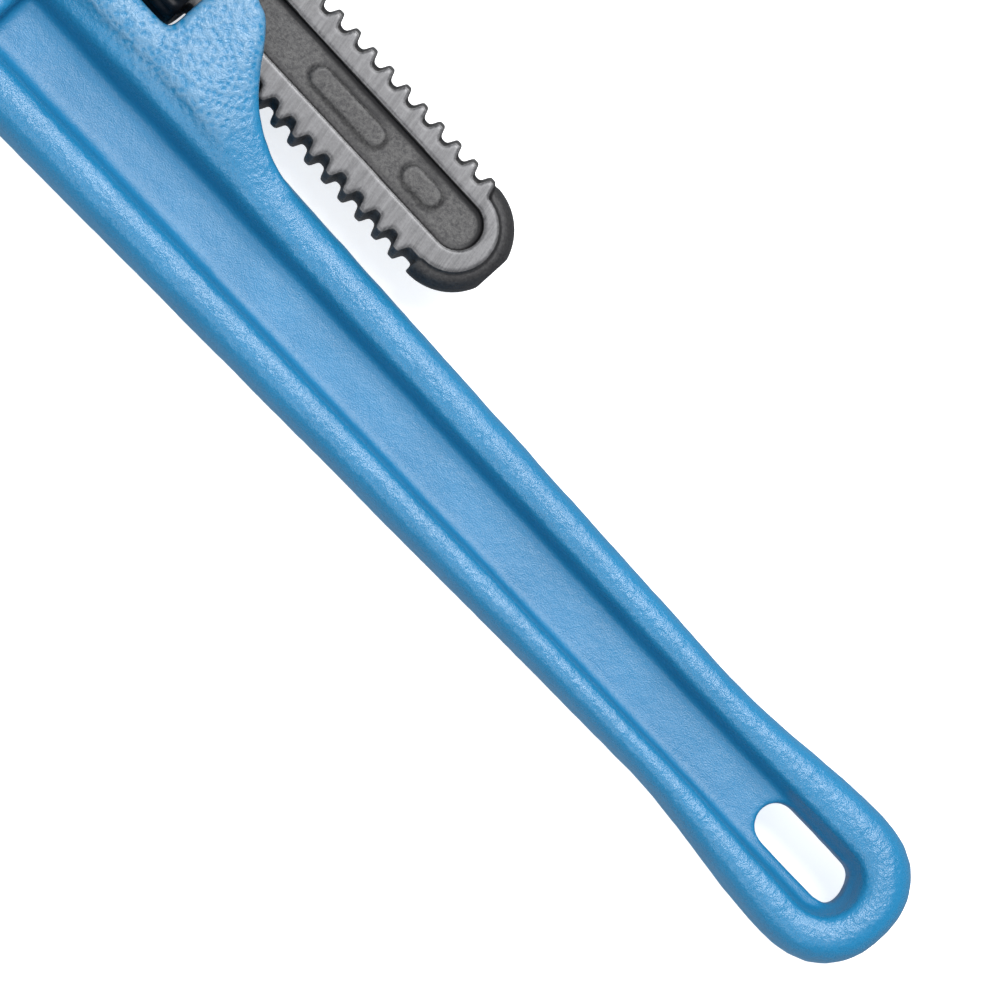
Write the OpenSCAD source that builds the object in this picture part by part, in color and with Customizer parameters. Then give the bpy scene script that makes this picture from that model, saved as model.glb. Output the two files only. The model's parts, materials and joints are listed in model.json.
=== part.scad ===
// Straight pipe wrench with an I-beam handle, a threaded hook jaw and a knurled nut.
//
// The wrench lies on its side.  +X runs from the hanging end towards the jaws, +Y is the
// side that the jaws open to, and +Z is up, square to the flat sides of the handle.
// The design is drawn on the handle's centre line, with X = 0 at the hanging end and Z = 0
// on the middle plane, and seat() moves it so that the finished part stands on Z = 0 with
// its origin under the middle of its bounding box.
// What slides or turns with the hook jaw is drawn along the shank: shank_frame() puts
// X = 0 at the end wall of the nut window and tilts the shank away from the handle.

/* [Handle] */
// Hanging end to the end wall of the nut window
handle_reach = 205.5; // [190:0.5:215]
// Half width at the widest point of the hanging end
end_half_w = 15.1; // [13:0.1:17]
// Length of the rounded hanging end
end_round = 15.5; // [12:0.5:20]
// Squareness of the rounded end, where 2 is an ellipse
end_power = 2.3; // [2:0.1:3]
// Half width at the waist, the narrowest point of the grip
waist_half_w = 12.25; // [10:0.05:14]
// Hanging end to the waist
waist_x = 53; // [40:1:70]
// Growth of the half width for each millimetre from the waist to the head
flare = 0.0255; // [0:0.0005:0.04]
// Half width of the sunk channel on each broad side
channel_half_w = 4.8; // [3:0.1:6]
// How far the channel's middle lies off the handle's own, to the jaws' side
channel_y = 0.9; // [0:0.1:1.5]
// Half thickness of the web between the two channels
web_half_t = 2.4; // [1.5:0.1:4]
// Half thickness over the rounded flanges of the grip
flange_half_t = 8.5; // [6:0.1:10]

/* [Hanging slot] */
// Hanging end to the near end of the slot
slot_start = 11.5; // [10:0.1:14]
// Length of the slot
slot_len = 20.3; // [12:0.1:30]
// Width of the slot
slot_w = 8.2; // [6:0.1:9]
// Corner radius at the slot's outer end
slot_corner_r = 2.6; // [1:0.1:4]

/* [Housing] */
// Half thickness over the flat sides of the housing
housing_half_t = 13; // [11:0.1:14]
// Length of the nut window along the shank
window_len = 22.3; // [22:0.1:26]
// Half height of the nut window
window_half_h = 15.2; // [15:0.1:17]
// Wall of the strap behind the window
strap_t = 4.2; // [3:0.1:6]
// Length of the band around the shank below the window
low_collar = 5.5; // [4:0.1:8]
// Length of the collar around the shank above the window
top_collar = 14; // [10:0.5:16]
// Play of the hook jaw in the collars, on each edge of the shank
rock_play = 1.4; // [1.2:0.1:1.8]
// Play of the hook jaw in the collars, on each flat of the shank
flat_play = 0.6; // [0.4:0.1:1]

/* [Hook jaw] */
// Radius over the thread crests on the two edges of the shank
crest_r = 11.6; // [10:0.1:12.5]
// Depth of the thread
thread_depth = 1.97; // [1.5:0.01:2.2]
// Pitch of the single right-hand thread
pitch = 4.5; // [4:0.1:5]
// Width of the thread crest
crest_w = 1.25; // [0.8:0.05:1.6]
// Width of the thread at its root
tooth_base_w = 3; // [2.4:0.05:3.3]
// Half thickness of the shank over its two ground flats
shank_half_t = 5; // [4.5:0.1:6.5]
// Window wall to the centre of the shank's rounded tail
tail_x = 59.9; // [50:0.1:70]
// Radius of the tail in plan
tail_r = 11.3; // [9:0.1:11.5]
// Depth of the forged recess in each flat
recess_depth = 1.4; // [0.5:0.1:1.6]
// Half width of the recess
recess_half_w = 4.65; // [3:0.05:6]
// Tilt of the recess against the shank
recess_tilt = 0.8; // [0:0.1:1.5]
// Tilt of the shank away from the handle
shank_tilt = 1.35; // [0:0.05:2]
// Distance from the handle's centre line to the shank at the window wall
shank_offset = 32.7; // [30:0.1:36]

/* [Jaws] */
// Gap between the tooth tips of the two jaws as the wrench lies
mouth = 12; // [6:0.5:20]
// Height of the heel jaw's tooth tips above its seat
heel_top = 12.5; // [10:0.5:15]
// Half thickness of both jaws
jaw_half_t = 8.5; // [7:0.1:10]
// Pitch of the gripping teeth
tooth_pitch = 2.5; // [2:0.1:4]
// Height of the gripping teeth
tooth_h = 1.5; // [0.8:0.1:2.5]
// Number of teeth on the hook jaw
hook_teeth = 10; // [6:1:11]
// Number of teeth on the heel jaw
heel_teeth = 14; // [8:1:14]

/* [Nut] */
// Outer radius of the nut
nut_r = 14.7; // [14.3:0.1:14.9]
// Length of the nut
nut_len = 20; // [16:0.5:20.3]
// Gap between the nut and the window's end wall
nut_gap = 1.5; // [0.6:0.1:1.6]
// Number of grip flutes around the nut
flutes = 30; // [18:1:36]
// Clearance between the thread flanks
thread_play = 0.3; // [0.2:0.05:0.4]

/* [Hidden] */
$fn = 64;

paint = [0.22, 0.55, 0.8];
forged = [0.24, 0.24, 0.25];
blackened = [0.07, 0.07, 0.08];
spring_steel = [0.4, 0.4, 0.42];

cut = 0.5;              // how far a cutter runs past the face that it opens
far = 60;               // longer than any wall that a cutter has to cross

// ---- Places along the handle ----
slot_end = slot_start + slot_len;
head_x = 228;           // channel's end, where the head begins
seat_x = 243;           // face that the heel jaw sits on
root_r = crest_r - thread_depth;
lead_angle = atan(pitch / (2 * PI * crest_r));
mouth_x = seat_x + heel_top - handle_reach;     // tooth tips of the heel jaw, along the shank
hook_x = mouth_x + mouth;               // tooth tips of the hook jaw, along the shank
hook_top = hook_x + 29;                 // back of the hook, along the shank
thread_end = mouth_x - 11;              // where the thread stops under the hook
nut_mid = nut_gap + nut_len / 2;
collar_end = window_len + top_collar;
strap_y = window_half_h + strap_t;

// ---- Heel jaw and its fixing ----
tenon_half_t = 4;
tenon_depth = 12;
tenon_y = [-8.5, 8];
pin_r = 2.5;
pin_at = [seat_x - 6, -2];
heel_y = [-18.5, 17.5];
head_half_t = 10;

// ---- Springs ----
coil_x = collar_end - 7;                // coil spring's axis, along the shank
coil_r = 2.6;
coil_wire_r = 0.5;
coil_turns = 5;
pocket_r = 3.4;
pocket_end = 22;                        // floor of the spring pocket, from the shank's axis
leaf_t = 0.7;
leaf_half_w = 4.5;
rivet_r = 1.5;

leaf_x = [window_len + 1, collar_end - 1.5];
leaf_y = crest_r + rock_play - leaf_t;
rivet_x = leaf_x[0] + 3;
rivet_head_t = 1.2;

// ---- Frames ----
front_y = heel_y[1] + 1;
back_y = from_shank([rivet_x, -strap_y - rivet_head_t]).y;
mid_x = (handle_reach + hook_top) / 2;
mid_y = (front_y + back_y) / 2;

module seat() translate([-mid_x, -mid_y, nut_r]) children();

module shank_frame() translate([handle_reach, -shank_offset, 0]) rotate([0, 0, -shank_tilt]) children();

function from_shank(p) = [
    handle_reach + p.x * cos(shank_tilt) + p.y * sin(shank_tilt),
    -shank_offset - p.x * sin(shank_tilt) + p.y * cos(shank_tilt)
];

// ---- Curves ----
function ease(a, b, t) = a + (b - a) * (1 - cos(180 * min(max(t, 0), 1))) / 2;

function arc(centre, r, from, to, steps = 8) = [
    for (i = [0:steps]) let (a = from + (to - from) * i / steps) centre + r * [cos(a), sin(a)]
];

function bezier(a, b, c, d, steps = 12) = [
    for (i = [0:steps]) let (t = i / steps, u = 1 - t)
        u * u * u * a + 3 * u * u * t * b + 3 * u * t * t * c + t * t * t * d
];

function reversed(list) = [for (i = [len(list) - 1:-1:0]) list[i]];

// A row of gripping teeth from p to q, with their tips on the line and their roots to the
// left of the way from p to q.  The steep side of each tooth faces q.
function tooth_row(p, q, count, height) =
    let (step = (q - p) / count, in = height * [-step.y, step.x] / norm(step))
    [for (i = [0:count - 1]) each [p + i * step, p + (i + 0.3) * step + in]];

// ---- Handle ----
function end_shape(u) = pow(1 - pow(abs(u), end_power), 1 / end_power);

function half_width(x) =
    x < end_round ? end_half_w * end_shape((end_round - x) / end_round)
    : x < waist_x ? ease(end_half_w, waist_half_w, (x - end_round) / (waist_x - end_round))
    : waist_half_w + flare * (x - waist_x);

// Height of the flange crest: the flanges grow towards the head, and the back one still
// more beside the housing, from where it eases back to the head's own thickness.
grow_x = 160;
grow_len = 42;
grown_z = 9.6;
housing_z = 11.6;
ease_back_x = handle_reach + 6;
ease_back_len = 14;
function crest_z(x, y) =
    let (grown = y < 0 ? ease(housing_z, grown_z, (x - ease_back_x) / ease_back_len) : grown_z)
    ease(flange_half_t, grown, (x - grow_x) / grow_len);

// The rounded flange runs up one edge, round the hanging end and back along the other.
// Each station is its inner foot, its outer edge and the height of its crest.
function side_station(x, side) = [
    [x, channel_y + side * channel_half_w], [x, side * half_width(x)], crest_z(x, side)
];

function end_station(a) =
    let (
        u = [cos(a), sin(a)],
        off_x = pow(abs(u.x) / end_round, end_power),
        off_y = pow(abs(u.y) / end_half_w, end_power),
        r = 1 / pow(off_x + off_y, 1 / end_power)
    )
    [[end_round, channel_y] + channel_half_w * u, [end_round, 0] + r * u, flange_half_t];

grip_steps = 5;
flare_steps = 8;
grip_x = [for (i = [0:grip_steps]) let (from = end_round + 3) from + i * (waist_x - from) / grip_steps];
flare_x = [for (i = [1:flare_steps]) waist_x + i * (head_x - 1 - waist_x) / flare_steps];
into_head_x = head_x + 4;               // the flanges end inside the head
flange_stations = [
    side_station(into_head_x, -1),
    for (x = reversed(flare_x)) side_station(x, -1),
    for (x = reversed(grip_x)) side_station(x, -1),
    for (a = [270:-12:90]) end_station(a),
    for (x = grip_x) side_station(x, 1),
    for (x = flare_x) side_station(x, 1),
    side_station(into_head_x, 1)
];

// Section of the flange: how far out each point lies, and how high.  It rises steeply from
// the web to a shoulder, swells gently to the crest, and turns over to the outer edge.
shoulder_at = 0.26;
shoulder = 0.96;
crest_at = 0.56;
crest_power = 2.6;
function flange_height(t, top) =
    t < shoulder_at ? ease(web_half_t - 0.3, shoulder * top, t / shoulder_at)
    : t < crest_at
        ? top * (shoulder + (1 - shoulder) * sin(90 * (t - shoulder_at) / (crest_at - shoulder_at)))
    : top * pow(1 - pow((t - crest_at) / (1 - crest_at), crest_power), 1 / crest_power);
flange_out = [0, 0.07, 0.13, 0.2, shoulder_at, 0.41, crest_at, 0.7, 0.82, 0.91, 0.97];

function flange_ring(station) =
    let (foot = station[0], out = station[1] - station[0], top = station[2])
    [
        for (t = flange_out) [each (foot + t * out), flange_height(t, top)],
        [each station[1], 0],
        for (t = reversed(flange_out)) [each (foot + t * out), -flange_height(t, top)]
    ];

// A solid skinned over rings that each have the same number of points.
module skin(rings) {
    n = len(rings[0]);
    last = len(rings) - 1;
    points = [for (ring = rings) each ring];
    sides = [
        for (i = [0:last - 1], j = [0:n - 1])
            let (a = i * n + j, b = i * n + (j + 1) % n)
            each [[a, b, b + n], [a, b + n, a + n]]
    ];
    polyhedron(points, [each sides, [for (j = [n - 1:-1:0]) j], [for (j = [0:n - 1]) last * n + j]]);
}

module flanges() skin([for (s = flange_stations) flange_ring(s)]);

// The web runs a little way into the flanges and the head.
web_lap = 1.2;
web_x = [end_round - 3, head_x + 3];
module web() translate([web_x[0], channel_y - channel_half_w - web_lap, -web_half_t])
    cube([web_x[1] - web_x[0], 2 * (channel_half_w + web_lap), 2 * web_half_t]);

module hanging_slot() linear_extrude(far, center = true) {
    inner_r = slot_w / 2;
    translate([slot_start + slot_corner_r, -slot_w / 2])
        square([slot_len - slot_corner_r - inner_r, slot_w]);
    translate([slot_start, slot_corner_r - slot_w / 2])
        square([slot_len / 2, slot_w - 2 * slot_corner_r]);
    for (side = [-1, 1])
        translate([slot_start + slot_corner_r, side * (slot_w / 2 - slot_corner_r)]) circle(slot_corner_r);
    translate([slot_end - inner_r, 0]) circle(inner_r);
}

// Outline of the housing: up from the channel behind the heel jaw, round the strap, down to
// the band below the window, and over the shank in a sweep that ends on the back flange.
strap_round = 6;
band_round = 2;
housing_from_x = handle_reach - 38;
housing_front_y = -8.6;
housing_outline = [
    [housing_from_x, housing_front_y], [seat_x - 6, housing_front_y], [seat_x - 6, -20],
    for (p = arc([collar_end - strap_round, strap_round - strap_y], strap_round, 0, -90)) from_shank(p),
    for (p = arc([strap_round - low_collar, strap_round - strap_y], strap_round, 270, 180)) from_shank(p),
    for (p = arc([-low_collar - band_round, -band_round], band_round, 0, 90, 4)) from_shank(p),
    for (p = bezier([-low_collar - band_round - 0.5, 0], [-13, 0], [-17.8, 17.4], [-36.5, 17.6]))
        from_shank(p)
];

// The housing's flat sides fall to the flanges: along the handle, and towards the channel.
ramp_x = [handle_reach - 40, handle_reach - 12];
ramp_foot_z = flange_half_t - 0.6;
bevel_y = [-11.6, -8.8];
bevel_foot_z = 10;
module housing_envelope() intersection() {
    rotate([90, 0, 0]) linear_extrude(2 * far, center = true) polygon([
        [ramp_x[0], ramp_foot_z], [ramp_x[1], housing_half_t], [seat_x, housing_half_t],
        [seat_x, -housing_half_t], [ramp_x[1], -housing_half_t], [ramp_x[0], -ramp_foot_z]
    ]);
    translate([ramp_x[0] - 20, 0, 0]) rotate([90, 0, 90]) linear_extrude(2 * far) polygon([
        [-far, housing_half_t], [bevel_y[0], housing_half_t], [bevel_y[1], bevel_foot_z],
        [bevel_y[1], -bevel_foot_z], [bevel_y[0], -housing_half_t], [-far, -housing_half_t]
    ]);
}

module housing_block() intersection() {
    linear_extrude(2 * housing_half_t, center = true) polygon(housing_outline);
    housing_envelope();
}

// The head closes the channel and carries the heel jaw.
module head_block() linear_extrude(2 * head_half_t, center = true) polygon([
    [head_x, -14], [head_x, half_width(head_x) - 2.5], [head_x + 5, half_width(head_x) - 0.5],
    [seat_x, heel_y[1] - 1], [seat_x, heel_y[0] + 0.5], [seat_x - 7, heel_y[0] - 0.5]
]);

window_corner_r = 1.4;
module nut_window() {
    corner = window_corner_r;
    linear_extrude(far, center = true) {
        translate([0, corner - window_half_h]) square([window_len, 2 * (window_half_h - corner)]);
        translate([corner, -window_half_h]) square([window_len - 2 * corner, 2 * window_half_h]);
        for (x = [corner, window_len - corner], y = [-1, 1])
            translate([x, y * (window_half_h - corner)]) circle(corner);
    }
}

module shank_channel() {
    h = crest_r + rock_play;
    t = shank_half_t + flat_play;
    translate([-far, -h, -t]) cube([2 * far, 2 * h, 2 * t]);
}

module spring_pocket() translate([coil_x, 0, 0]) rotate([-90, 0, 0]) cylinder(r = pocket_r, h = pocket_end);

module handle() color(paint) seat() difference() {
    union() {
        flanges();
        web();
        housing_block();
        head_block();
    }
    hanging_slot();
    shank_frame() {
        nut_window();
        shank_channel();
        spring_pocket();
        rivet_body(0.02);
    }
    translate([seat_x - tenon_depth - 0.2, tenon_y[0] - 0.2, -tenon_half_t - 0.1])
        cube([tenon_depth + 0.2 + cut, tenon_y[1] - tenon_y[0] + 0.4, 2 * tenon_half_t + 0.2]);
    translate([each pin_at, 0]) cylinder(r = pin_r, h = far, center = true);
}

// ---- Heel jaw ----
module heel_jaw() color(forged) seat() difference() {
    union() {
        linear_extrude(2 * jaw_half_t, center = true) polygon([
            [seat_x, heel_y[1]], [seat_x, heel_y[0]],
            each tooth_row(
                [seat_x + heel_top, heel_y[0]], [seat_x + heel_top, heel_y[1] - 1], heel_teeth, tooth_h
            ),
            [seat_x + heel_top - tooth_h, heel_y[1] - 1], [seat_x + 6, heel_y[1] + 1]
        ]);
        translate([seat_x - tenon_depth, tenon_y[0], -tenon_half_t])
            cube([tenon_depth + cut, tenon_y[1] - tenon_y[0], 2 * tenon_half_t]);
    }
    translate([each pin_at, 0]) cylinder(r = pin_r, h = far, center = true);
}

module heel_jaw_pin() color(spring_steel) seat()
    translate([each pin_at, 0]) cylinder(r = pin_r, h = 2 * head_half_t, center = true);

// ---- Hook jaw ----
module shank_bar(r, from, to) intersection() {
    translate([from, 0, 0]) rotate([0, 90, 0]) cylinder(r = r, h = to - from);
    translate([from - 1, -far, -shank_half_t]) cube([to - from + 2, 2 * far, 2 * shank_half_t]);
}

// One thread tooth: a short arc of a ring, leaning at the thread's lead angle.  Its flanks
// run on below the root, so that they cut the bar cleanly.
tooth_foot = 0.5;
function flank_w(r) = crest_w + (crest_r - r) * (tooth_base_w - crest_w) / thread_depth;
module thread_tooth() rotate([lead_angle, 0, 0]) rotate_extrude(angle = 76, start = -38)
    polygon([
        [root_r - tooth_foot, -flank_w(root_r - tooth_foot) / 2], [crest_r, -crest_w / 2],
        [crest_r, crest_w / 2], [root_r - tooth_foot, flank_w(root_r - tooth_foot) / 2]
    ]);

// The teeth of one edge.  A single thread meets the far edge half a pitch further on.
thread_phase = -0.09;
first_tooth = ceil(-tail_x / pitch);
last_tooth = floor((thread_end - 1) / pitch);
module edge_teeth(side) for (i = [first_tooth:last_tooth])
    translate([(i - thread_phase + (side > 0 ? 0.5 : 0)) * pitch, 0, 0])
        rotate([side > 0 ? 0 : 180, 0, 0]) rotate([0, 90, 0]) rotate([0, 0, 90]) thread_tooth();

module threads() intersection() {
    union() {
        edge_teeth(1);
        edge_teeth(-1);
    }
    translate([-far * 1.5, -far, -shank_half_t]) cube([far * 3, far * 2, 2 * shank_half_t]);
}

// The tail is left as forged: a rounded nose a little below the ground flats, cropped at its end.
nose_half_t = shank_half_t - 0.8;
cropped_at = 10.65;
nose_round = 2.7;
nose = [for (a = [0:15:90]) [tail_r - nose_round + nose_round * cos(a), nose_half_t * sin(a)]];
module tail_nose() intersection() {
    translate([-tail_x, 0, 0]) rotate_extrude() polygon([
        [0, nose_half_t], each reversed(nose), each [for (p = nose) [p.x, -p.y]], [0, -nose_half_t]
    ]);
    translate([-tail_x - cropped_at, -far, -far]) cube([cropped_at + 0.2, 2 * far, 2 * far]);
}

tail_flat_r = 8.1;                      // round end of the ground flats
module tail_flat() translate([-tail_x, 0, 0])
    cylinder(r = tail_flat_r, h = 2 * shank_half_t, center = true);

module recess() rotate([0, 0, recess_tilt]) {
    from = -tail_x;
    to = mouth_x - 8;
    translate([from, -recess_half_w, 0]) cube([to - from, 2 * recess_half_w, far]);
    for (x = [from, to]) translate([x, 0, 0]) cylinder(r = recess_half_w, h = far);
}

hook_tip_y = 46;
hook_tip_r = 4;
hook_back_r = 14;
throat_r = 5;
module hook_head() linear_extrude(2 * jaw_half_t, center = true) polygon([
    [hook_x - 8, -crest_r - 0.6], [hook_x - 8, crest_r],
    each arc([hook_x + tooth_h - throat_r, crest_r + throat_r], throat_r, 270, 360),
    each tooth_row([hook_x, hook_tip_y - hook_tip_r - hook_teeth * tooth_pitch],
        [hook_x, hook_tip_y - hook_tip_r], hook_teeth, -tooth_h),
    each arc([hook_x + hook_tip_r, hook_tip_y - hook_tip_r], hook_tip_r, 180, 90),
    each bezier([hook_x + 13, hook_tip_y], [hook_x + 22, hook_tip_y - 4], [hook_top, 34], [hook_top, 14]),
    each arc([hook_top - hook_back_r, hook_back_r - crest_r - 0.6], hook_back_r, 0, -90)
]);

module hook_jaw() color(forged) seat() shank_frame() difference() {
    union() {
        shank_bar(root_r, -tail_x, thread_end);
        shank_bar(crest_r, thread_end - 1, hook_x);
        threads();
        tail_nose();
        tail_flat();
        hook_head();
    }
    translate([0, 0, shank_half_t - recess_depth]) recess();
    mirror([0, 0, 1]) translate([0, 0, shank_half_t - recess_depth]) recess();
}

// ---- Adjusting nut ----
// Inner thread: a ridge that winds through the nut between the teeth of the shank.
ridge_tip_r = root_r + 0.35;
ridge_base_r = crest_r + 0.6;
ridge_tip_w = pitch - flank_w(ridge_tip_r) - 2 * thread_play;
ridge_base_w = pitch - flank_w(ridge_base_r) - 2 * thread_play;
ridge_turns = 3.75;
ridge_steps = 24;
ridge_start = 360 * (nut_mid / pitch - ridge_turns / 2 + thread_phase);

function ridge_ring(i) =
    let (
        a = 360 * i / ridge_steps,
        x = nut_mid + pitch * (i / ridge_steps - ridge_turns / 2),
        out = [0, cos(a + ridge_start), sin(a + ridge_start)]
    )
    [
        [x + ridge_base_w / 2, 0, 0] + ridge_base_r * out,
        [x + ridge_tip_w / 2, 0, 0] + ridge_tip_r * out,
        [x - ridge_tip_w / 2, 0, 0] + ridge_tip_r * out,
        [x - ridge_base_w / 2, 0, 0] + ridge_base_r * out
    ];
module inner_thread() skin([for (i = [0:ridge_turns * ridge_steps]) ridge_ring(i)]);

module nut_blank() {
    chamfer = 1.2;
    bore_chamfer = 0.8;
    bore_r = crest_r + 0.3;
    rotate([0, 90, 0]) rotate_extrude() polygon([
        [bore_r + bore_chamfer, 0], [nut_r - chamfer, 0], [nut_r, chamfer],
        [nut_r, nut_len - chamfer], [nut_r - chamfer, nut_len], [bore_r + bore_chamfer, nut_len],
        [bore_r, nut_len - bore_chamfer], [bore_r, bore_chamfer]
    ]);
}

flute_r = 0.85;
flute_depth = 0.5;
module nut_flutes() for (i = [0:flutes - 1])
    rotate([360 * i / flutes, 0, 0]) translate([-1, 0, nut_r + flute_r - flute_depth])
        rotate([0, 90, 0]) cylinder(r = flute_r, h = nut_len + 2);

module adjusting_nut() color(blackened) seat() shank_frame() union() {
    translate([nut_gap, 0, 0]) difference() {
        nut_blank();
        nut_flutes();
    }
    inner_thread();
}

// ---- Springs ----
coil_steps = 14;
function coil_ring(i) =
    let (
        a = 360 * i / coil_steps,
        y0 = crest_r + 0.9 + coil_wire_r,
        y1 = pocket_end - 0.1 - coil_wire_r,
        y = y0 + (y1 - y0) * i / (coil_steps * coil_turns),
        c = [coil_x + coil_r * cos(a), y, coil_r * sin(a)],
        out = [cos(a), 0, sin(a)]
    )
    [for (k = [5:-1:0]) c + coil_wire_r * (out * cos(60 * k) + [0, 1, 0] * sin(60 * k))];

module coil_spring() color(spring_steel) seat() shank_frame()
    skin([for (i = [0:coil_steps * coil_turns]) coil_ring(i)]);

// The leaf lies against the wall, and its free end bends in towards the shank.
leaf_back_y = -leaf_y - leaf_t + 0.02;
leaf_bend = 0.4;
module flat_spring() color(spring_steel) seat() shank_frame() difference() {
    translate([0, 0, -leaf_half_w]) linear_extrude(2 * leaf_half_w) polygon([
        [leaf_x[0], -leaf_y], [leaf_x[0], leaf_back_y], [leaf_x[1] - 6, leaf_back_y],
        [leaf_x[1], leaf_back_y + leaf_bend], [leaf_x[1], leaf_bend - leaf_y], [leaf_x[1] - 6, -leaf_y]
    ]);
    rivet_body(0.05);
}

module rivet_body(play) translate([rivet_x, 0, 0]) rotate([90, 0, 0])
    translate([0, 0, leaf_y - 1]) cylinder(r = rivet_r + play, h = far);

module spring_rivet() color(spring_steel) seat() shank_frame()
    translate([rivet_x, 0, 0]) rotate([90, 0, 0]) {
        translate([0, 0, leaf_y]) cylinder(r = rivet_r, h = strap_y + rivet_head_t / 2 - leaf_y);
        translate([0, 0, strap_y]) cylinder(r = 1.6 * rivet_r, h = rivet_head_t);
    }

handle();
heel_jaw();
heel_jaw_pin();
hook_jaw();
adjusting_nut();
coil_spring();
flat_spring();
spring_rivet();
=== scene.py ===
# %% [markdown]
# # A pipe wrench
# A pipe wrench is a cast handle with a forged hook jaw that slides through it. A knurled nut
# turns in a window of the handle and screws the hook jaw in and out. This lesson takes the
# wrench's exact CAD solids as a fixed frame, and gives each one the soft edges, the cast skin
# and the finish that the real piece has.
#
# Everything is in metres. +X runs from the hanging end to the jaws, +Y is the side that the
# jaws open to, and Z is up. The wrench lies on its side.

# %% Load the frame
import json
import math

import bmesh
import bpy
import numpy as np
from mathutils import Matrix, Vector, noise


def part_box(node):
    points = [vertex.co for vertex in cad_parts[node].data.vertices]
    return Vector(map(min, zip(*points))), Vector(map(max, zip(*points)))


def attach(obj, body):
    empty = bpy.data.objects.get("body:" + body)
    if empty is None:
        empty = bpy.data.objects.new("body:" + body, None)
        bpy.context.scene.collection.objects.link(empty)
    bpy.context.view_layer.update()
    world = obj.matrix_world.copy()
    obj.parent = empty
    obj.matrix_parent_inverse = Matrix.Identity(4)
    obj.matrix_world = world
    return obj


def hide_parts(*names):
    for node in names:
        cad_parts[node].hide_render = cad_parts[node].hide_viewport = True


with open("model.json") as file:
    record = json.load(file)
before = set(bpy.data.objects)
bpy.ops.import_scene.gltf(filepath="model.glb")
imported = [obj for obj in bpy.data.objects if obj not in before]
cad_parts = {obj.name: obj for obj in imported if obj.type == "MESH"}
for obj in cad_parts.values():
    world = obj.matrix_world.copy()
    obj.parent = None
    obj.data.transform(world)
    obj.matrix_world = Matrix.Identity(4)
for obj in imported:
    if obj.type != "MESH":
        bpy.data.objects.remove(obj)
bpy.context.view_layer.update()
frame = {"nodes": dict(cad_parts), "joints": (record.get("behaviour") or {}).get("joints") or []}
MM = 0.001

# %% [markdown]
# ## Where things are
# All positions come from the frame. The shank is not quite parallel to the handle, so its own
# axis is worth having: the nut turns about it, so the slide joint's axis gives its direction
# and the middle of the nut's box gives a point on it.

# %% The shank's own axes
joints = {joint["name"]: joint for joint in frame["joints"]}
along = Vector(joints["jaw_slide"]["axis"]).normalized()
nut_low, nut_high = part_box("adjusting_nut")
nut_middle = (nut_low + nut_high) / 2
mid_z = nut_middle.z
shank_angle = math.atan2(along.y, along.x)
shank_place = Matrix.Translation(nut_middle) @ Matrix.Rotation(shank_angle, 4, "Z")
print("shank turned", round(math.degrees(shank_angle), 2), "degrees")

# %% [markdown]
# ## Camera
# The view is almost straight down on the handle, from a little towards the side that the jaws
# open to, with the handle running from the upper left to the lower right. A long lens keeps
# the broad faces nearly free of perspective. The camera is turned by an up vector and not by
# Euler angles, because "which way is up in the picture" is easier to read than three angles.

# %% Camera
camera_data = bpy.data.cameras.new("camera")
camera_data.lens = 209.9
camera_data.sensor_width = 36
camera_data.clip_start = 0.05
camera = bpy.data.objects.new("camera", camera_data)
bpy.context.scene.collection.objects.link(camera)
camera.location = (-0.0013, 0.1222, 1.055)
looks_at = Vector((-0.0438, 0.0136, mid_z))
picture_up = math.radians(-43.56)
forward = (looks_at - camera.location).normalized()
right = forward.cross(Vector((math.cos(picture_up), math.sin(picture_up), 0))).normalized()
upward = right.cross(forward)
camera.rotation_euler = Matrix((right, upward, -forward)).transposed().to_euler()
bpy.context.scene.camera = camera
print("camera", round((looks_at - camera.location).length, 3), "m from the handle")

# %% [markdown]
# ## Soft light on a pale floor
# A painted casting shows mostly what it reflects, so the lights are large. One broad panel
# hangs overhead. A small bright one stands off to the hook's side, so the ribs get a highlight
# a little off their crests and the rough housing glints. A key panel and a fill panel face
# each other across the handle, and the fill keeps the far slope of the channel from going
# black. The floor gives some light of its own, which keeps the shadow under the wrench faint,
# and it is left out of reflections, so that the outline keeps its darker rim.

# %% Lights and floor
bpy.context.scene.view_settings.view_transform = "Standard"


def light_panel(name, place, size, radiance):
    """A square panel that faces the wrench. Its power follows from its area and its radiance."""
    data = bpy.data.lights.new(name, "AREA")
    data.shape = "SQUARE"
    data.size = size
    data.energy = radiance * math.pi * size * size
    panel = bpy.data.objects.new(name, data)
    bpy.context.scene.collection.objects.link(panel)
    panel.location = place
    panel.rotation_euler = (looks_at - Vector(place)).to_track_quat("-Z", "Y").to_euler()
    return panel


light_panel("overhead_panel", (0.0, 0.0, 2.4), 3.4, 0.9)
light_panel("glint_panel", (0.06, -0.80, 2.3), 0.72, 26.0)
light_panel("key_panel", (0.05, -1.75, 1.6), 1.1, 7.0)
light_panel("fill_panel", (-0.10, 1.60, 1.9), 1.2, 3.6)

# The room lights the wrench softly, and is pale where the camera sees it past the floor.
world = bpy.data.worlds.new("studio")
bpy.context.scene.world = world
world.use_nodes = True
room = world.node_tree
glow = room.nodes["Background"]
glow.inputs["Color"].default_value = (0.93, 0.95, 1.0, 1)
glow.inputs["Strength"].default_value = 0.32
backdrop = room.nodes.new("ShaderNodeBackground")
backdrop.inputs["Color"].default_value = (0.93, 0.94, 0.96, 1)
seen_or_lighting = room.nodes.new("ShaderNodeMixShader")
ray = room.nodes.new("ShaderNodeLightPath")
room.links.new(ray.outputs["Is Camera Ray"], seen_or_lighting.inputs["Fac"])
room.links.new(glow.outputs["Background"], seen_or_lighting.inputs[1])
room.links.new(backdrop.outputs["Background"], seen_or_lighting.inputs[2])
room.links.new(seen_or_lighting.outputs["Shader"], room.nodes["World Output"].inputs["Surface"])

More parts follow.
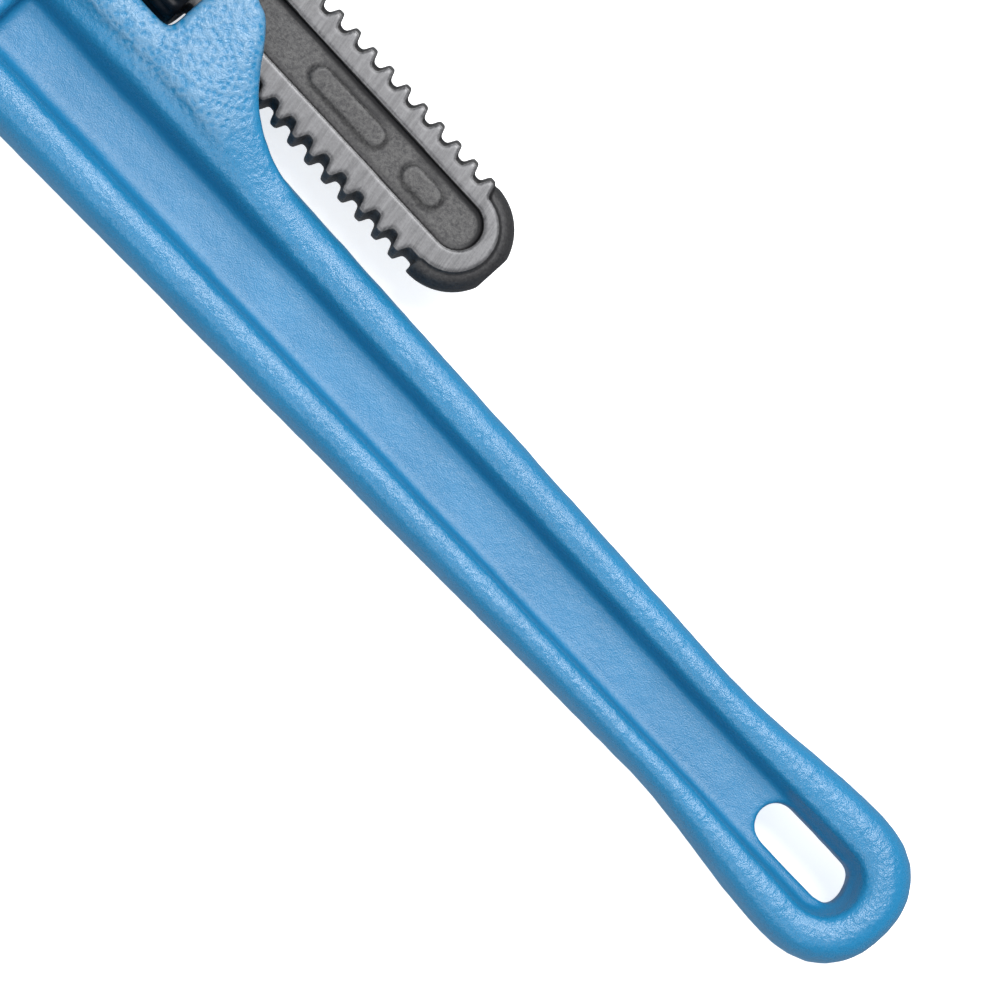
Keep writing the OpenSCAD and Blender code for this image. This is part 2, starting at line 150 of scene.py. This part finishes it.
bm = bmesh.new()
bmesh.ops.create_grid(bm, x_segments=1, y_segments=1, size=6.0)
floor_mesh = bpy.data.meshes.new("floor")
bm.to_mesh(floor_mesh)
bm.free()
floor = bpy.data.objects.new("floor", floor_mesh)
bpy.context.scene.collection.objects.link(floor)
floor.visible_glossy = False
print("floor 12 m square, at z = 0")

# %% [markdown]
# ## A small language for materials
# A material is a graph of nodes, and most of its nodes are plain arithmetic. The class below
# wraps an output socket. Python's + - * on it add Math nodes, so a mask reads as a formula.
# Colours are mixed with a Mix node, because a Math node would turn them grey.

# %% The socket class
class Shade:
    """An output socket of one material. Arithmetic on it adds Math nodes."""

    def __init__(self, tree, socket=None):
        self.tree, self.socket = tree, socket

    def node(self, kind, settings=None, inputs=None, output=0):
        """Adds any node: its settings first, then the values or the links of its sockets."""
        made = self.tree.nodes.new(kind)
        for key, value in (settings or {}).items():
            setattr(made, key, value)
        for key, value in (inputs or {}).items():
            named = [s for s in made.inputs if s.identifier == key] or [made.inputs[key]]
            if isinstance(value, Shade):
                self.tree.links.new(value.socket, named[0])
            else:
                named[0].default_value = value
        if not made.outputs:
            return None
        named = [s for s in made.outputs if s.identifier == output]
        return Shade(self.tree, (named or [made.outputs[output]])[0])

    def maths(self, operation, *values):
        inputs = dict(enumerate((self, *values)))
        return self.node("ShaderNodeMath", {"operation": operation}, inputs)

    def __add__(self, other):
        return self.maths("ADD", other)

    def __sub__(self, other):
        return self.maths("SUBTRACT", other)

    def __rsub__(self, other):
        return (self * -1.0) + other

    def __mul__(self, other):
        return self.maths("MULTIPLY", other)

    __radd__, __rmul__ = __add__, __mul__

    def size(self):
        return self.maths("ABSOLUTE")

    def between(self, low, high):
        """0 below low, 1 above high and a smooth step between them."""
        settings = {"interpolation_type": "SMOOTHSTEP"}
        inputs = {"Value": self, "From Min": low, "From Max": high}
        return self.node("ShaderNodeMapRange", settings, inputs)

    def colour(self, low, high):
        """Blends two colours, or colour outputs, by this value."""
        inputs = {"Factor_Float": self, "A_Color": low, "B_Color": high}
        return self.node("ShaderNodeMix", {"data_type": "RGBA"}, inputs, "Result_Color")


def rgb(red, green, blue):
    return (red, green, blue, 1.0)


print("arithmetic on sockets is ready")

# %% Surfaces, patterns and the finished shader
def new_material(name):
    """An empty material, and the start of its graph."""
    material = bpy.data.materials.new(name)
    material.use_nodes = True
    material.node_tree.nodes.clear()
    return material, Shade(material.node_tree)


def in_place(start, matrix=Matrix()):
    """Object coordinates in mm, seen in the frame whose place is given."""
    place = start.node("ShaderNodeTexCoord", output="Object")
    inverse = matrix.inverted()
    settings = {"vector_type": "POINT"}
    inputs = {
        "Vector": place,
        "Location": inverse.translation / MM,
        "Rotation": inverse.to_euler(),
        "Scale": (1 / MM, 1 / MM, 1 / MM),
    }
    return start.node("ShaderNodeMapping", settings, inputs)


def parts_of(vector):
    """The x, y and z of a vector output."""
    split = vector.node("ShaderNodeSeparateXYZ", inputs={"Vector": vector})
    sockets = split.socket.node.outputs
    return [Shade(vector.tree, sockets[i]) for i in range(3)]


def stretched(vector, factors):
    inputs = {0: vector, 1: factors}
    return vector.node("ShaderNodeVectorMath", {"operation": "MULTIPLY"}, inputs)


def grain(vector, size, detail=2.0, roughness=0.5):
    """Cloudy noise with blobs of that size, in mm. Its values run around 0.5."""
    inputs = {"Vector": vector, "Scale": 1 / size, "Detail": detail, "Roughness": roughness}
    return vector.node("ShaderNodeTexNoise", inputs=inputs)


def cells(vector, size, softness=1.0):
    """Rounded bumps of that size, in mm."""
    settings = {"feature": "SMOOTH_F1"}
    inputs = {"Vector": vector, "Scale": 1 / size, "Smoothness": softness}
    return vector.node("ShaderNodeTexVoronoi", settings, inputs)


def raised(height, depth):
    """A normal from a height that runs from 0 to 1 over that depth, in mm."""
    inputs = {"Height": height, "Distance": depth * MM, "Strength": 1.0}
    return height.node("ShaderNodeBump", inputs=inputs, output="Normal")


def finish_with(material, start, **inputs):
    """The Principled shader with those sockets, and the material's output."""
    named = {key.replace("_", " "): value for key, value in inputs.items()}
    shader = start.node("ShaderNodeBsdfPrincipled", inputs=named)
    start.node("ShaderNodeOutputMaterial", inputs={"Surface": shader})
    return material


print("pattern helpers are ready")

# %% [markdown]
# ## The floor's finish
# A plain matt white with a little light of its own.

# %% Floor material
floor_material, start = new_material("white_floor")
finish_with(
    floor_material, start,
    Base_Color=rgb(0.72, 0.72, 0.72), Roughness=0.9,
    Emission_Color=rgb(1, 1, 1), Emission_Strength=0.72,
)
floor.data.materials.append(floor_material)

# %% [markdown]
# ## From an exact solid to a casting
# CAD edges are perfectly sharp, and a casting or a forging has none. A Bevel would have to
# find its way through hundreds of curved edges. Instead the solid is rebuilt as an even skin
# of small quads (a voxel remesh) and smoothed a few rounds: each round draws a point towards
# its neighbours, which rounds edges and fillets corners, and leaves flat faces alone.

# %% Skin of small quads
def merged_copy(node, name):
    """A CAD node's mesh as a new piece, with its loose triangles joined at their corners."""
    mesh = frame["nodes"][node].data.copy()
    mesh.materials.clear()
    piece = bpy.data.objects.new(name, mesh)
    bpy.context.scene.collection.objects.link(piece)
    bm = bmesh.new()
    bm.from_mesh(mesh)
    bmesh.ops.remove_doubles(bm, verts=bm.verts, dist=0.001 * MM)
    bm.to_mesh(mesh)
    bm.free()
    return piece


def applied(piece, kind, **settings):
    """Adds a modifier and bakes it into the mesh."""
    modifier = piece.modifiers.new(kind.lower(), kind)
    for key, value in settings.items():
        setattr(modifier, key, value)
    graph = bpy.context.evaluated_depsgraph_get()
    mesh = bpy.data.meshes.new_from_object(piece.evaluated_get(graph))
    piece.modifiers.clear()
    old, piece.data = piece.data, mesh
    bpy.data.meshes.remove(old)
    return piece


def skinned(piece, voxel):
    """The piece rebuilt as an even closed skin."""
    return applied(piece, "REMESH", mode="VOXEL", voxel_size=voxel * MM, use_smooth_shade=True)


def softened(piece, rounds, where=None):
    """Smooths the skin, or the part of it for which where(point) is true."""
    bm = bmesh.new()
    bm.from_mesh(piece.data)
    points = [v for v in bm.verts if where is None or where(v.co)]
    for _ in range(rounds):
        bmesh.ops.smooth_vert(
            bm, verts=points, factor=0.5, use_axis_x=True, use_axis_y=True, use_axis_z=True
        )
    bm.to_mesh(piece.data)
    bm.free()
    return piece


def triangles(piece):
    return sum(len(face.vertices) - 2 for face in piece.data.polygons)


print("skin helpers are ready")

# %% [markdown]
# ## What stands out and what lies in a hollow
# Wear polishes the ridges, and the hollows are darkened as painted shade. Both are found in the
# same way: a point is compared with the mean of its surroundings. The answer is kept on the
# mesh as an attribute, which a material can read.

# %% Relief attribute
def mark_relief(piece, rounds, reach):
    """Stores how far a point stands above its surroundings, as a share of reach in mm."""
    mesh = piece.data
    count = len(mesh.vertices)
    place = np.empty(count * 3)
    mesh.vertices.foreach_get("co", place)
    place = place.reshape(-1, 3)
    ends = np.empty(len(mesh.edges) * 2, int)
    mesh.edges.foreach_get("vertices", ends)
    first, second = ends.reshape(-1, 2).T
    both, other = np.concatenate((first, second)), np.concatenate((second, first))
    neighbours = np.maximum(np.bincount(both, minlength=count), 1)
    mean = place.copy()
    for _ in range(rounds):
        sums = [np.bincount(both, weights=mean[other, axis], minlength=count) for axis in range(3)]
        mean = (mean + np.stack(sums, 1) / neighbours[:, None]) / 2
    normals = np.empty(count * 3)
    mesh.vertex_normals.foreach_get("vector", normals)
    stands = ((place - mean) * normals.reshape(-1, 3)).sum(1) / (reach * MM)
    attribute = mesh.attributes.new("relief", "FLOAT", "POINT")
    attribute.data.foreach_set("value", np.clip(stands, -1, 1).astype(np.float32))
    return piece


def relief(start):
    return start.node("ShaderNodeAttribute", {"attribute_name": "relief"}, output="Fac")


def placed(piece, material, node, body):
    """The last step of every piece: its finish, the body it rides on, and the node it replaces."""
    piece.data.materials.clear()
    piece.data.materials.append(material)
    for face in piece.data.polygons:
        face.use_smooth = True
    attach(piece, body)
    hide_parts(node)
    print(piece.name, triangles(piece), "triangles on", body)
    return piece


# %% [markdown]
# ## The cast handle
# The handle is malleable iron, cast in sand and stove-enamelled. Sand gives the skin a gentle
# unevenness of about a tenth of a millimetre, which shows best where a highlight runs along a
# rib. That unevenness is modelled by moving the skin's points in and out with a noise, so
# it is there in the outline too. The finer orange peel of the enamel is left to the material.

# %% Handle skin
handle = merged_copy("handle", "cast_handle")
skinned(handle, 0.68)
softened(handle, 3)
softened(handle, 10, lambda p: (p - nut_middle).length < 62 * MM)


def cast_skin(piece, waves):
    """Moves the skin's points in and out, by waves of (length, height) in mm."""
    bm = bmesh.new()
    bm.from_mesh(piece.data)
    bm.normal_update()
    moves = []
    for v in bm.verts:
        height = sum(noise.noise(v.co / (length * MM)) * tall for length, tall in waves)
        moves.append(v.normal * height * MM)
    for v, move in zip(bm.verts, moves):
        v.co += move
    bm.to_mesh(piece.data)
    bm.free()
    return piece


cast_skin(handle, [(9.0, 0.10), (3.2, 0.06), (1.6, 0.03)])
mark_relief(handle, 6, 0.5)
print("handle skin", triangles(handle), "triangles")

# %% [markdown]
# ## Blue enamel
# The enamel is a deep, even blue under a clear gloss. Most of what makes it look pale from
# above is the light that the gloss reflects, so the base colour is darker and more saturated
# than it seems. Orange peel is made from rounded cells with a finer grain over them. It is
# strongest on the housing's flat sides, whose bumps are also painted paler there as painted
# glints, and weakest down in the channel, where the paint flowed together and dried more matt.
# Painted shade darkens the hollows very slightly.

# %% Enamel material
enamel, start = new_material("blue_enamel")
place = in_place(start)
height_over_middle = (parts_of(place)[2] - mid_z / MM).size()
on_ribs = height_over_middle.between(3.5, 7.0)
on_housing = height_over_middle.between(10.5, 12.5)
peel = cells(place, 1.15, 0.5) * 0.8 + grain(place, 0.8, 3.0, 0.55) * 0.8
fine = grain(place, 0.28, 2.0)
strength = 0.25 + on_ribs * 0.35 + on_housing * 0.45
clouds = grain(place, 14.0, 3.0).between(0.3, 0.7)
# The hollows' mask: it darkens the enamel's colour as painted shade, and makes it rougher there.
shaded_hollow = (relief(start) * -1.0).between(0.15, 0.9)
blue = clouds.colour(rgb(0.008, 0.150, 0.312), rgb(0.010, 0.163, 0.336))
blue = (shaded_hollow * 0.5).colour(blue, rgb(0.008, 0.11, 0.26))
# Painted glints: on the housing, the tops of the orange-peel bumps are painted paler.
blue = (peel.between(0.55, 0.95) * on_housing * 0.24).colour(blue, rgb(0.30, 0.40, 0.48))
finish_with(
    enamel, start,
    Base_Color=blue,
    Roughness=0.38 + (fine - 0.5) * 0.14 + shaded_hollow * 0.1 - on_ribs * 0.1,
    Normal=raised(peel * strength + fine * 0.42, 0.2),
)
placed(handle, enamel, "handle", "handle_body")

# %% [markdown]
# ## The hook jaw
# The hook jaw is one steel forging. Its shank was left as forged, black and grainy, then its
# two flats were ground bright and a thread was cut along its two narrow edges. The forging's
# recess keeps its black skin. A finer skin than the handle's keeps the thread crisp. Two
# plain raised pads stand in each recess, which is tilted a little against the shank, and they
# are tilted with it.

# %% Raised pads of the recess
def rounded_pad(length, width, tall, place):
    """A flat pad with rounded ends, as a mesh, in mm."""
    bm = bmesh.new()
    bmesh.ops.create_cube(bm, size=MM)
    bmesh.ops.scale(bm, vec=(length, width, tall), verts=bm.verts)
    upright = [e for e in bm.edges if abs(e.verts[0].co.z - e.verts[1].co.z) > 0.5 * tall * MM]
    bmesh.ops.bevel(
        bm, geom=upright, offset=0.42 * min(length, width) * MM, segments=4,
        profile=0.5, affect="EDGES", material=-1,
    )
    bmesh.ops.transform(bm, matrix=place, verts=bm.verts)
    mesh = bpy.data.meshes.new("pad")
    bm.to_mesh(mesh)
    bm.free()
    return mesh


ground_half_t = 5.0                             # shank's middle to its ground flats
recess_floor = 3.6                              # and to the recess's floor
pad_w, pad_t, pad_sinks = 3.9, 1.0, 0.05
pads = [(-42.6, 18.0), (-62.0, 8.6)]            # place along the shank, and length
print(len(pads), "pads on each flat")

# %% Hook jaw skin
hook = merged_copy("hook_jaw", "hook_jaw_forging")
bm = bmesh.new()
bm.from_mesh(hook.data)
window_wall = Matrix.Translation((-11.5 * MM, 0, 0))
recess_tilt = Matrix.Rotation(math.radians(0.8), 4, "Z")
recess_turn = window_wall @ recess_tilt @ window_wall.inverted()
for along_shank, length in pads:
    for side in (1, -1):
        over_floor = side * (recess_floor + pad_sinks)
        middle = Matrix.Translation(Vector((along_shank, 0, over_floor)) * MM)
        pad = rounded_pad(length, pad_w, pad_t, shank_place @ recess_turn @ middle)
        bm.from_mesh(pad)
        bpy.data.meshes.remove(pad)
bm.to_mesh(hook.data)
bm.free()
skinned(hook, 0.32)
softened(hook, 2)
most_triangles = 185000
applied(hook, "DECIMATE", ratio=min(1, most_triangles / triangles(hook)))
mark_relief(hook, 24, 0.32)
print("hook jaw skin", triangles(hook), "triangles")

# %% [markdown]
# ## Ground steel and forging skin in one material
# The two finishes meet exactly where the grinding wheel stopped, which is at a height over
# the shank's middle. A mask on that height splits the material. Grinding leaves fine scratches
# across the shank, so its noise is stretched far along one direction. The forged skin is dark
# scale with a sandy grain. It is rubbed lighter on the thread's crests, and it is darker on the
# rounded nose. Its hollows are painted near black as painted shade, most of all along the
# recess wall on the -Y side, as a painted shadow.

# %% Hook jaw material
steel, start = new_material("ground_and_forged_steel")
place = in_place(start, shank_place)
x, y, z = parts_of(place)
over_middle = z.size()
hook_from_x = 40.0                              # where the hook begins along the shank
tail_round_x = -71.4                            # centre of the shank's rounded tail
on_shank = 1 - x.between(hook_from_x, hook_from_x + 2.5)
above_edge = over_middle.between(ground_half_t - 0.2, ground_half_t - 0.08)
below_hook = 1 - over_middle.between(ground_half_t + 0.3, ground_half_t + 0.5)
ground = above_edge * below_hook * on_shank


def turned(vector, degrees):
    inputs = {"Vector": vector, "Rotation": (0, 0, math.radians(degrees))}
    return vector.node("ShaderNodeMapping", {"vector_type": "POINT"}, inputs)


strokes = stretched(turned(place, -104), (0.13, 2.6, 1.0))
scratches = grain(strokes, 1.0, 3.0, 0.6)
broad_strokes = grain(stretched(turned(place, -99), (0.07, 0.8, 1.0)), 1.0, 2.0)
sand = grain(place, 0.55, 5.0, 0.7)
pits = grain(place, 1.7, 3.0)
ridge = relief(start).between(0.25, 0.8)
# Masks for painted shade in the hollows and a painted shadow along the -Y recess wall.
shaded_hollow = (relief(start) * -1.0).between(0.08, 0.5)
shadowed_wall = 1 - y.between(-1.0, 1.5)
from_tail = x - tail_round_x
from_tail = (from_tail * from_tail + y * y).maths("SQRT")
on_nose = from_tail.between(7.6, 8.1) * (1 - x.between(tail_round_x + 0.9, tail_round_x + 2.4))
bare = (scratches * 0.35 + broad_strokes * 0.3 + sand * 0.35).between(0.36, 0.64)
bare_colour = bare.colour(rgb(0.042, 0.042, 0.045), rgb(0.122, 0.122, 0.127))
scale = sand.between(0.25, 0.75).colour(rgb(0.018, 0.018, 0.020), rgb(0.092, 0.091, 0.090))
scale = (on_nose * 0.6).colour(scale, rgb(0.022, 0.022, 0.024))
# Painted shade and painted shadow: hollows go near black, most of all along the -Y recess wall.
scale = (shaded_hollow * (0.5 + shadowed_wall * 0.48)).colour(scale, rgb(0.004, 0.004, 0.005))
scale = (ridge * 0.5).colour(scale, rgb(0.10, 0.10, 0.10))
height = (1 - ground) * (sand * 1.0 + pits * 0.5) + ground * scratches * 0.08
finish_with(
    steel, start,
    Base_Color=ground.colour(scale, bare_colour),
    Metallic=0.55 - ground * 0.3,
    Roughness=0.52 + (sand - 0.5) * 0.2 + ground * (scratches * 0.18 - 0.20) - ridge * 0.08,
    Normal=raised(height, 0.09),
)
placed(hook, steel, "hook_jaw", "hook_jaw")

# %% [markdown]
# ## The adjusting nut
# The nut is turned from bar, and its grip is pressed into straight flutes. It is blackened by
# oxide, which is thin: the corners of the flutes that fingers touch are rubbed lighter.

# %% Nut skin
nut = merged_copy("adjusting_nut", "knurled_nut")
skinned(nut, 0.36)
softened(nut, 2)
mark_relief(nut, 4, 0.18)

# %% Black oxide material
oxide, start = new_material("black_oxide")
place = in_place(start, shank_place)
dust = grain(place, 0.35, 3.0)
blotches = grain(place, 3.0, 3.0).between(0.35, 0.65)
ridge = relief(start).between(0.2, 0.9)
black = blotches.colour(rgb(0.010, 0.010, 0.012), rgb(0.022, 0.022, 0.024))
finish_with(
    oxide, start,
    Base_Color=(ridge * 0.55).colour(black, rgb(0.11, 0.11, 0.11)),
    Metallic=0.5 + ridge * 0.3,
    Roughness=0.42 + (dust - 0.5) * 0.25 - ridge * 0.08,
    Normal=raised(dust, 0.03),
)
placed(nut, oxide, "adjusting_nut", "adjusting_nut")

# %% [markdown]
# ## The heel jaw
# The lower jaw is a separate hardened block, so that it can be replaced when its teeth wear.
# Its skin is as fine as the hook jaw's. Its finish is the same blackened steel, but its
# teeth are milled and worn, so their tips are bright.

# %% Heel jaw skin
heel = merged_copy("heel_jaw", "heel_jaw_block")
skinned(heel, 0.30)
softened(heel, 2)
mark_relief(heel, 4, 0.18)
heel_teeth_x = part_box("heel_jaw")[1].x / MM
print("heel jaw skin", triangles(heel), "triangles")

# %% Hardened steel material
hardened, start = new_material("hardened_steel")
place = in_place(start)
sand = grain(place, 0.5, 4.0, 0.6)
marks = grain(stretched(place, (0.5, 4.0, 0.3)), 1.0, 2.0)
ridge = relief(start).between(0.15, 0.75)
near_teeth = parts_of(place)[0].between(heel_teeth_x - 3.5, heel_teeth_x - 1.0)
black = sand.between(0.3, 0.7).colour(rgb(0.028, 0.028, 0.030), rgb(0.075, 0.074, 0.074))
worn = near_teeth * 0.45 + ridge * 0.45
finish_with(
    hardened, start,
    Base_Color=worn.colour(black, rgb(0.36, 0.36, 0.365)),
    Metallic=0.6 + worn * 0.4,
    Roughness=0.5 + (sand - 0.5) * 0.2 - worn * 0.12,
    Normal=raised(sand * 0.7 + marks * 0.3, 0.06),
)
placed(heel, hardened, "heel_jaw", "handle_body")

# %% [markdown]
# ## Turned pins
# The heel jaw's pin and the spring's rivet are both turned shapes: half of their section,
# spun round an axis. The pin's ends are chamfered, and the rivet's head is a low dome.

# %% Pin and rivet
def turned_piece(name, section, matrix):
    """A section of (radius, height) points in mm, spun about Z and moved into place."""
    bm = bmesh.new()
    ring = [bm.verts.new((radius * MM, 0, tall * MM)) for radius, tall in section]
    line = [bm.edges.new(pair) for pair in zip(ring, ring[1:])]
    bmesh.ops.spin(
        bm, geom=ring + line, cent=(0, 0, 0), axis=(0, 0, 1), angle=math.tau,
        steps=48, use_merge=True,
    )
    bmesh.ops.remove_doubles(bm, verts=bm.verts, dist=0.001 * MM)
    bmesh.ops.recalc_face_normals(bm, faces=bm.faces)
    bmesh.ops.transform(bm, matrix=matrix, verts=bm.verts)
    mesh = bpy.data.meshes.new(name)
    bm.to_mesh(mesh)
    bm.free()
    piece = bpy.data.objects.new(name, mesh)
    bpy.context.scene.collection.objects.link(piece)
    return piece


pin_low, pin_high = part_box("heel_jaw_pin")
pin_middle = (pin_low + pin_high) / 2
pin_r = (pin_high.x - pin_low.x) / 2 / MM
pin_half = (pin_high.z - pin_low.z) / 2 / MM
chamfer = 0.4
pin_section = [
    (0, -pin_half + 0.1), (pin_r - chamfer - 0.6, -pin_half), (pin_r - chamfer, -pin_half),
    (pin_r - 0.1, -pin_half + chamfer - 0.1), (pin_r, -pin_half + chamfer),
]
pin_section += [(radius, -tall) for radius, tall in reversed(pin_section)]
pin = turned_piece("heel_jaw_cross_pin", pin_section, Matrix.Translation(pin_middle))

rivet_low, rivet_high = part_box("spring_rivet")
rivet_middle = (rivet_low + rivet_high) / 2
head_r = (rivet_high.z - rivet_low.z) / 2 / MM
rivet_len = (rivet_high.y - rivet_low.y) / MM - 0.1
rocking_room = 0.55                             # so that the leaf can rock clear of the stem
stem_r = head_r / 1.6 - rocking_room
head_t = 1.15
rivet_section = [(0, 0)]
for step in range(1, 7):
    a = math.radians(15 * step)
    rivet_section.append((head_r * math.sin(a), head_t * (1 - math.cos(a)) * 0.9))
rivet_section += [
    (head_r, head_t), (stem_r, head_t), (stem_r, rivet_len - 0.3),
    (stem_r - 0.3, rivet_len), (0, rivet_len),
]
rivet_at = Vector((rivet_middle.x, rivet_low.y + 0.05 * MM, mid_z))
outward = Matrix.Rotation(shank_angle, 4, "Z") @ Matrix.Rotation(math.radians(-90), 4, "X")
rivet = turned_piece("leaf_spring_rivet", rivet_section, Matrix.Translation(rivet_at) @ outward)
print("pin", round(2 * pin_r, 2), "mm thick; rivet", round(rivet_len, 1), "mm long")

# %% [markdown]
# ## Springs
# Two springs keep the hook jaw from rattling, and let it rock to grip. The coil is a small
# circle that a spin carries round and forward at once. The leaf is its CAD solid with the
# sheared edges eased by a bevel.

# %% Coil spring
coil_low, coil_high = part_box("coil_spring")
coil_middle = (coil_low + coil_high) / 2
wire_r = 0.5
wind_r = (coil_high.z - coil_low.z) / 2 / MM - wire_r
turns = 5
steps = 26 * turns
rise = (coil_high.y - coil_low.y) / MM - 2 * wire_r
bm = bmesh.new()
wire = bmesh.ops.create_circle(bm, cap_ends=False, radius=wire_r * MM, segments=12)["verts"]
stand = Matrix.Translation((wind_r * MM, 0, 0)) @ Matrix.Rotation(math.radians(90), 4, "X")
bmesh.ops.transform(bm, matrix=stand, verts=wire)
bmesh.ops.spin(
    bm, geom=wire + bm.edges[:], cent=(0, 0, 0), axis=(0, 0, 1),
    dvec=(0, 0, rise / steps * MM), angle=math.tau * turns, steps=steps,
)
open_ends = [edge for edge in bm.edges if edge.is_boundary]
bmesh.ops.holes_fill(bm, edges=open_ends, sides=12)
bmesh.ops.recalc_face_normals(bm, faces=bm.faces)
coil_foot = Vector((coil_middle.x, coil_low.y + wire_r * MM, mid_z))
bmesh.ops.transform(bm, matrix=Matrix.Translation(coil_foot) @ outward, verts=bm.verts)
coil_mesh = bpy.data.meshes.new("coil")
bm.to_mesh(coil_mesh)
bm.free()
coil = bpy.data.objects.new("jaw_coil_spring", coil_mesh)
bpy.context.scene.collection.objects.link(coil)
print("coil", turns, "turns over", round(rise, 1), "mm")

# %% Leaf spring
leaf = merged_copy("flat_spring", "jaw_leaf_spring")
bm = bmesh.new()
bm.from_mesh(leaf.data)
bmesh.ops.dissolve_limit(bm, angle_limit=math.radians(2), verts=bm.verts, edges=bm.edges)
sharp = [e for e in bm.edges if len(e.link_faces) == 2 and e.calc_face_angle() > math.radians(50)]
bmesh.ops.bevel(
    bm, geom=sharp, offset=0.12 * MM, segments=2, profile=0.5, affect="EDGES", material=-1
)
bm.to_mesh(leaf.data)
bm.free()
print("leaf", triangles(leaf), "triangles")

# %% Spring and pin material
sprung, start = new_material("spring_steel")
place = in_place(start)
drawn = grain(stretched(place, (1.0, 6.0, 1.0)), 0.5, 2.0)
tarnish = grain(place, 2.0, 3.0).between(0.35, 0.7)
finish_with(
    sprung, start,
    Base_Color=tarnish.colour(rgb(0.30, 0.30, 0.31), rgb(0.17, 0.155, 0.14)),
    Metallic=1.0,
    Roughness=0.3 + drawn * 0.2,
    Normal=raised(drawn, 0.015),
)
placed(pin, sprung, "heel_jaw_pin", "handle_body")
placed(rivet, sprung, "spring_rivet", "handle_body")
placed(coil, sprung, "coil_spring", "handle_body")
placed(leaf, sprung, "flat_spring", "cradle")
